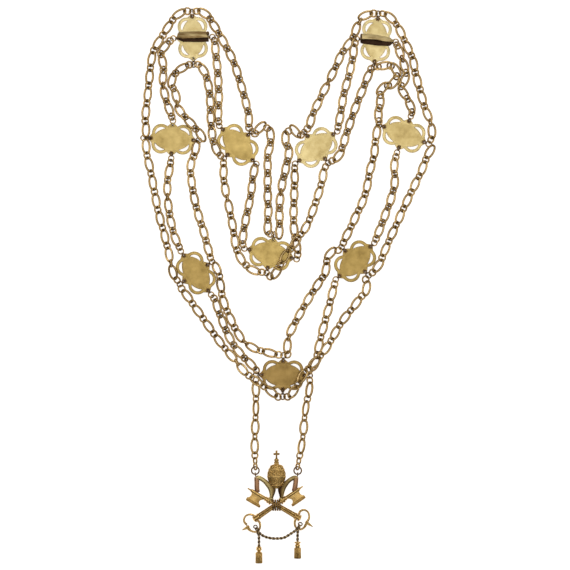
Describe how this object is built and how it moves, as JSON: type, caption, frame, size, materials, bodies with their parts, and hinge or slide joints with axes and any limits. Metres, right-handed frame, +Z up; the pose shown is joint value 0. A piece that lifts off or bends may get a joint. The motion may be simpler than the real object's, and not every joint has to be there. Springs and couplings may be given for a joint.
{
  "type": "chain of office",
  "caption": "Gilt collar of openwork oval plaques joined by triple chains in a closed loop, with a badge of tiara, crossed keys and tassels on two short chains.",
  "frame": {"origin": "on the surface it lies on, under the middle of the front centre plaque", "axes": "+Y from the badge to the back of the neck, +Z up from the surface, towards the reverse side, which is shown; +X to the right in the picture"},
  "size_m": [0.2483, 0.4677, 0.0107],
  "materials": {
    "plaque_gilt": "pale worn gilding with a satin gloss, darker at the eyes and edges",
    "chain_gilt": "polished gilt wire, tarnished brown on its sides",
    "badge_gilt": "cast gilt metal, warm, dark in its hollows",
    "dark_gilt": "heavily tarnished gilt, grey brown"
  },
  "bodies": {
    "root": {"shoulder_plaque_left": "plaque_gilt", "shoulder_plaque_right": "plaque_gilt", "front_plaque_upper_left": "plaque_gilt", "front_plaque_upper_right": "plaque_gilt", "front_plaque_lower_left": "plaque_gilt", "front_plaque_lower_right": "plaque_gilt", "front_plaque_centre": "plaque_gilt", "back_plaque_left": "plaque_gilt", "back_plaque_right": "plaque_gilt", "back_plaque_centre": "plaque_gilt", "chain_front_left_high_outer": "chain_gilt", "chain_front_left_high_middle": "chain_gilt", "chain_front_left_high_inner": "chain_gilt", "chain_front_left_middle_outer": "chain_gilt", "chain_front_left_middle_middle": "chain_gilt", "chain_front_left_middle_inner": "chain_gilt", "chain_front_left_low_outer": "chain_gilt", "chain_front_left_low_middle": "chain_gilt", "chain_front_left_low_inner": "chain_gilt", "chain_front_right_high_outer": "chain_gilt", "chain_front_right_high_middle": "chain_gilt", "chain_front_right_high_inner": "chain_gilt", "chain_front_right_middle_outer": "chain_gilt", "chain_front_right_middle_middle": "chain_gilt", "chain_front_right_middle_inner": "chain_gilt", "chain_front_right_low_outer": "chain_gilt", "chain_front_right_low_middle": "chain_gilt", "chain_front_right_low_inner": "chain_gilt", "chain_back_left_high_outer": "chain_gilt", "chain_back_left_high_middle": "chain_gilt", "chain_back_left_high_inner": "chain_gilt", "chain_back_left_low_outer": "chain_gilt", "chain_back_left_low_middle": "chain_gilt", "chain_back_left_low_inner": "chain_gilt", "chain_back_right_high_outer": "chain_gilt", "chain_back_right_high_middle": "chain_gilt", "chain_back_right_high_inner": "chain_gilt", "chain_back_right_low_outer": "chain_gilt", "chain_back_right_low_middle": "chain_gilt", "chain_back_right_low_inner": "chain_gilt", "pendant_chain_left": "chain_gilt", "pendant_chain_right": "chain_gilt", "badge_emblem": "badge_gilt", "badge_tassel_left": "badge_gilt", "badge_tassel_right": "badge_gilt", "badge_ring_left": "dark_gilt", "badge_ring_right": "dark_gilt", "badge_rope": "dark_gilt"}
  },
  "joints": []
}
